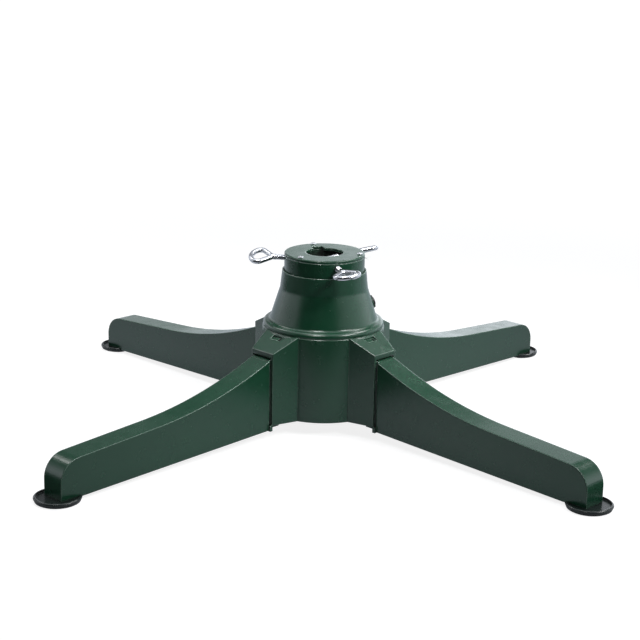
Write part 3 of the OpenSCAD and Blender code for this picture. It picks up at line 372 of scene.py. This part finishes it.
def rolled_thread(length, radius, pitch, depth, sides, steps):
    """A screw's shank from its tip at x = 0, with a lead-in and a thread that runs out."""
    tip_share, flat_root, run_out = 0.8, 0.2, 2 * pitch
    rings = []
    count = int(length / pitch * steps)
    for i in range(count + 1):
        x = length * i / count

        def by_side(side, x=x):
            from_crest = abs((x / pitch - side / sides) % 1.0 - 0.5) * 2
            cut = depth * min(1.0, from_crest / (1 - flat_root))
            lead = min(1.0, tip_share + (1 - tip_share) * x / pitch)
            fade = min(1.0, (length - x) / run_out)
            return (radius - cut * fade) * lead

        rings.append((x, by_side))
    return lathed(rings, sides)


def joined(*meshes):
    """Several closed meshes as one."""
    shape = bmesh.new()
    for mesh in meshes:
        shape.from_mesh(mesh)
    whole = bpy.data.meshes.new("joined")
    shape.to_mesh(whole)
    shape.free()
    return whole


def cross_screw(head_r, head_h, shank_r, shank_l):
    """A pan-head screw with its seat at x = 0 and its cross-recessed head towards +x."""
    # The pan's profile and the recess are in shares of the head's height and radius.
    pan = ((0, 0.97), (0.12, 1), (0.45, 1), (0.72, 0.93), (0.9, 0.74), (1, 0.4))
    turned = lathed([(head_h * x, head_r * r) for x, r in pan], sides=40)
    blank = bpy.data.objects.new("screw_head", turned)
    recess_at, recess_l, recess_w, recess_taper = 0.75, 1.15, 0.28, 0.55
    cross = bmesh.new()
    for turn in (0, math.pi / 2):
        for v in bmesh.ops.create_cube(cross, size=1.0)["verts"]:
            taper = 1.0 if v.co.x > 0 else recess_taper
            v.co = Matrix.Rotation(turn, 3, "X") @ Vector(
                ((recess_at + v.co.x) * head_h, v.co.y * head_r * recess_l * taper,
                 v.co.z * head_r * recess_w * taper))
    driver_mesh = bpy.data.meshes.new("driver_bit")
    cross.to_mesh(driver_mesh)
    cross.free()
    driver = bpy.data.objects.new("driver_bit", driver_mesh)
    for thing in (driver, blank):
        bpy.context.scene.collection.objects.link(thing)
    struck = blank.modifiers.new("recess", "BOOLEAN")
    struck.operation = "DIFFERENCE"
    struck.solver = "EXACT"
    struck.use_self = True
    struck.object = driver
    bpy.context.view_layer.update()
    head = bpy.data.meshes.new_from_object(blank.evaluated_get(bpy.context.evaluated_depsgraph_get()))
    for thing in (driver, blank):
        bpy.data.objects.remove(thing)
    into_head = 0.0002
    thread = rolled_thread(shank_l, shank_r, pitch=0.001, depth=0.0003, sides=16, steps=4)
    thread.transform(Matrix.Translation((into_head - shank_l, 0, 0)))
    return joined(head, thread)


def separate_solids(name):
    """The corners of each separate solid in a node."""
    mesh = nodes[name].data
    leader = list(range(len(mesh.vertices)))

    def lead(i):
        while leader[i] != i:
            i = leader[i]
        return i

    for edge in mesh.edges:
        leader[lead(edge.vertices[0])] = lead(edge.vertices[1])
    at = {}
    for v in mesh.vertices:
        corner = tuple(round(c, 6) for c in v.co)
        if corner in at:
            leader[lead(v.index)] = lead(at[corner])
        at[corner] = v.index
    solids = {}
    for v in mesh.vertices:
        solids.setdefault(lead(v.index), []).append(v.co.copy())
    return list(solids.values())


def screw_in(node, body, material, head_up, head_r, head_h, shank_r):
    """Sets a cross-recessed screw where each plain screw of a node is."""
    for index, solid in enumerate(separate_solids(node)):
        low = [min(c[k] for c in solid) for k in range(3)]
        high = [max(c[k] for c in solid) for k in range(3)]
        mesh = cross_screw(head_r, head_h, shank_r, high[2] - low[2] - head_h)
        seat = high[2] - head_h if head_up else low[2] + head_h
        driven_to = 0.5 + 1.1 * index  # each stops at a turn of its own
        mesh.transform(Matrix.Translation(((low[0] + high[0]) / 2, (low[1] + high[1]) / 2, seat))
                       @ Matrix.Rotation(driven_to, 4, "Z")
                       @ Matrix.Rotation(math.radians(-90 if head_up else 90), 4, "Y"))
        mesh.materials.append(material)
        mesh.shade_smooth()
        mesh.set_sharp_from_angle(angle=math.radians(35))
        screw = bpy.data.objects.new("%s_%d" % (node.rstrip("s"), index + 1), mesh)
        bpy.context.scene.collection.objects.link(screw)
        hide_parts(node)
        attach(screw, body)


# Zinc-plated steel: a cool, slightly cloudy metal, duller than nickel.
even = (1, 1, 1)  # pits that run no way in particular
zinc = plated("zinc_plated_steel", "#e6e8ea", roughness=0.30, streak=even, pit=0.0009)
screw_in("foot_screws", "base", zinc, head_up=False, head_r=0.0038, head_h=0.0010, shank_r=0.00195)
screw_in("bottom_cover_screws", "base", zinc, head_up=False, head_r=0.0038, head_h=0.0011,
         shank_r=0.00195)
dress(dark_polypropylene, "bottom_cover", edge=0.0004)

# ---- Gear motor and drive ----
# A flat gear motor hangs in the hub by two screws. Its pinion and the spindle's gear are
# moulded in natural acetal, and its case is pressed from zinc-coated sheet.
coated_sheet = plated("zinc_coated_sheet", "#a9adae", roughness=0.42, streak=even, pit=0.0014)
dress(coated_sheet, "gear_motor", edge=0.0003)
# Small pieces have their edges broken by 0.15 mm.
broken_edge = 0.00015
dress(zinc, "motor_screws", "gear_screw", edge=broken_edge)
# Natural acetal: off-white, slightly waxy, and smooth from the mould.
acetal = moulded("natural_acetal", colour="#e6e3d8", shade="#dcd8cb",
                 worn_and_highlit="#f0eee6", roughness=0.34, grain=0.001, depth=0.00001)
dress(acetal, "drive_gear", "pinion", edge=broken_edge)

# ---- Bearing, bushes and spindle ----
# The spindle is a drawn steel tube on a ball thrust bearing. The races, the balls and the
# motor's shaft are ground steel, the cage is stamped brass and the bushes are sintered bronze.
# Ground steel is bright, with fine marks round it. Brass is warm and yellow, and sintered
# bronze is browner and duller, for the oil in its pores.
ground_steel = plated("ground_bearing_steel", "#c4c5c6", roughness=0.16, streak=(1, 1, 6), pit=0.0006)
dress(ground_steel, "lower_race", "upper_race", "bearing_balls", "motor_shaft")
brass = plated("stamped_brass", "#c9a55c", roughness=0.3, streak=even, pit=0.0008)
dress(brass, "ball_cage", edge=0.0001)
bronze = plated("sintered_bronze", "#a98250", roughness=0.45, streak=even, pit=0.0005)
dress(bronze, "neck_bush", "lower_bush", edge=0.0002)
# Cold drawn tube: grey, with fine marks along its length.
drawn_steel = plated("cold_drawn_steel", "#b4b3b0", roughness=0.34, streak=(1, 1, 0.06), pit=0.0005)
dress(drawn_steel, "spindle_tube", edge=0.0003)

# ---- Bell cover and head ----
# The bell cover screws down on the hub. The head ring is pinned to the spindle inside the
# bell's rim and carries the cap, all in the same spruce green polypropylene.
dress(polypropylene, "bell_cover", "head_ring", "head_cap", edge=0.0008)
dress(zinc, "bell_screws", "head_pins", edge=broken_edge)
screw_in("cap_screws", "spindle", zinc, head_up=True, head_r=0.0026, head_h=0.0016, shank_r=0.00145)

# ---- Push button and power inlet ----
# The button with its switch on the bell's side, and the inlet at the back of the hub.
# Moulded ABS in black: neutral in colour, and a little duller than the green parts.
abs_plastic = moulded("black_abs", colour="#0c0c0d", shade="#131314",
                      worn_and_highlit="#3a3a3c", roughness=0.32, grain=0.0008, depth=0.000015)
dress(abs_plastic, "switch_body", "switch_button", "power_inlet", edge=0.0002)
dress(zinc, "inlet_nut", edge=broken_edge)


# ---- Eye bolts ----
# Three M5 bolts bent from steel wire with rolled threads and a bright nickel plate, run in
# square nuts. Each eye leaves the shank, turns two corners and a bow, and closes against it.
def bent_wire(path, radius, sides):
    """A closed ring of round wire along a flat path."""
    shape = bmesh.new()
    loops = []
    for i, point in enumerate(path):
        ahead = (path[(i + 1) % len(path)] - path[i - 1]).normalized()
        across = Vector((-ahead.y, ahead.x, 0))
        loops.append([])
        for k in range(sides):
            turn = 2 * math.pi * k / sides
            loops[-1].append(shape.verts.new(
                point + radius * (math.cos(turn) * across + math.sin(turn) * Vector((0, 0, 1)))))
    for one, two in zip(loops, loops[1:] + loops[:1]):
        for k in range(sides):
            shape.faces.new((one[k], two[k], two[(k + 1) % sides], one[(k + 1) % sides]))
    bmesh.ops.recalc_face_normals(shape, faces=shape.faces)
    mesh = bpy.data.meshes.new("wire")
    shape.to_mesh(mesh)
    shape.free()
    return mesh


bolt_r = 0.0025
thread_pitch = 0.0008
thread_depth = 0.00042
wire_r = 0.0023
eye_long = 0.0220
eye_wide = 0.0249
corner_r = 0.0050

# The wire's centre line: the leg to the upper corner, round it, and half the bow. The leg
# starts inside the neck, and the corner is some two thirds of the way out.
leg_from = 0.12
corner_share = 0.64
end = eye_long - wire_r
corner_y = eye_wide / 2 - wire_r - corner_r
corner_x = end * corner_share
bow_x = ((end * end - 2 * end * corner_r + corner_r ** 2 - corner_x ** 2 - corner_y ** 2)
         / 2 / (end - corner_r - corner_x))
bow_r = end - bow_x
bow_from = math.atan2(corner_y, corner_x - bow_x)
leg_at = math.atan2(corner_y, corner_x) + math.asin(corner_r / math.hypot(corner_x, corner_y))
leg_l = math.sqrt(corner_x ** 2 + corner_y ** 2 - corner_r ** 2)
half = [Vector((leg_l * t * math.cos(leg_at), leg_l * t * math.sin(leg_at), 0))
        for t in (leg_from + (1 - leg_from) * k / 9 for k in range(9))]
half += [Vector((corner_x + corner_r * math.cos(a), corner_y + corner_r * math.sin(a), 0))
         for a in (leg_at + math.pi / 2 + (bow_from - leg_at - math.pi / 2) * k / 12 for k in range(12))]
half += [Vector((bow_x + bow_r * math.cos(a), bow_r * math.sin(a), 0))
         for a in (bow_from * (1 - k / 8) for k in range(9))]
eye_line = half + [Vector((p.x, -p.y, 0)) for p in reversed(half[:-1])]

# The plain neck between the thread and the eye: how far each ring is from the eye's start,
# and its share of the bolt's radius.
neck_rings = ((-0.0030, 0.9), (-0.0026, 1), (0.0006, 1), (0.0032, 1.02), (0.0044, 0.75), (0.0049, 0.3))
thread_end = 0.0028

# Bright nickel plate: a pale grey, nearly a mirror, that takes black and white from the room.
nickel = plated("bright_nickel_plate", "#caccd0", roughness=0.21, streak=even, pit=0.0007)
for joint in frame["joints"]:
    if not joint["name"].endswith("_bolt_slide"):
        continue
    # The plain bolt gives the new one its place, its length and how far its eye is rolled.
    side = joint["name"].split("_")[0]
    node = "eye_bolt_" + side
    out = Vector(joint["axis"]).normalized()
    beside = Vector((-out.y, out.x, 0))
    corners = [v.co.copy() for v in nodes[node].data.vertices]
    reach = [c.dot(out) for c in corners]
    tip = min(reach)
    length = max(reach) - tip
    shank = [c.z for c, r in zip(corners, reach) if r < tip + length / 2]
    start = Vector((out.x * tip, out.y * tip, sum(shank) / len(shank)))
    widest = max((c - start for c, r in zip(corners, reach) if r > tip + length * 0.8),
                 key=lambda c: abs(c.dot(beside)))
    roll = math.atan2(widest.z * (1 if widest.dot(beside) > 0 else -1), abs(widest.dot(beside)))
    neck = length - eye_long
    eye = bent_wire(eye_line, wire_r, sides=16)
    eye.transform(Matrix.Translation((neck, 0, 0)))
    plain = lathed([(neck + x, bolt_r * r) for x, r in neck_rings], sides=28)
    thread = rolled_thread(neck - thread_end, bolt_r, thread_pitch, thread_depth, sides=28, steps=8)
    mesh = joined(eye, plain, thread)
    mesh.transform(Matrix.Translation(start)
                   @ Matrix((out, beside, Vector((0, 0, 1)))).transposed().to_4x4()
                   @ Matrix.Rotation(roll, 4, "X"))
    mesh.materials.append(nickel)
    mesh.shade_smooth()
    mesh.set_sharp_from_angle(angle=math.radians(50))
    bolt = bpy.data.objects.new("wire_eye_bolt_" + side, mesh)
    bpy.context.scene.collection.objects.link(bolt)
    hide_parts(node)
    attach(bolt, side + "_eye_bolt")
dress(zinc, "bolt_nuts", edge=broken_edge)
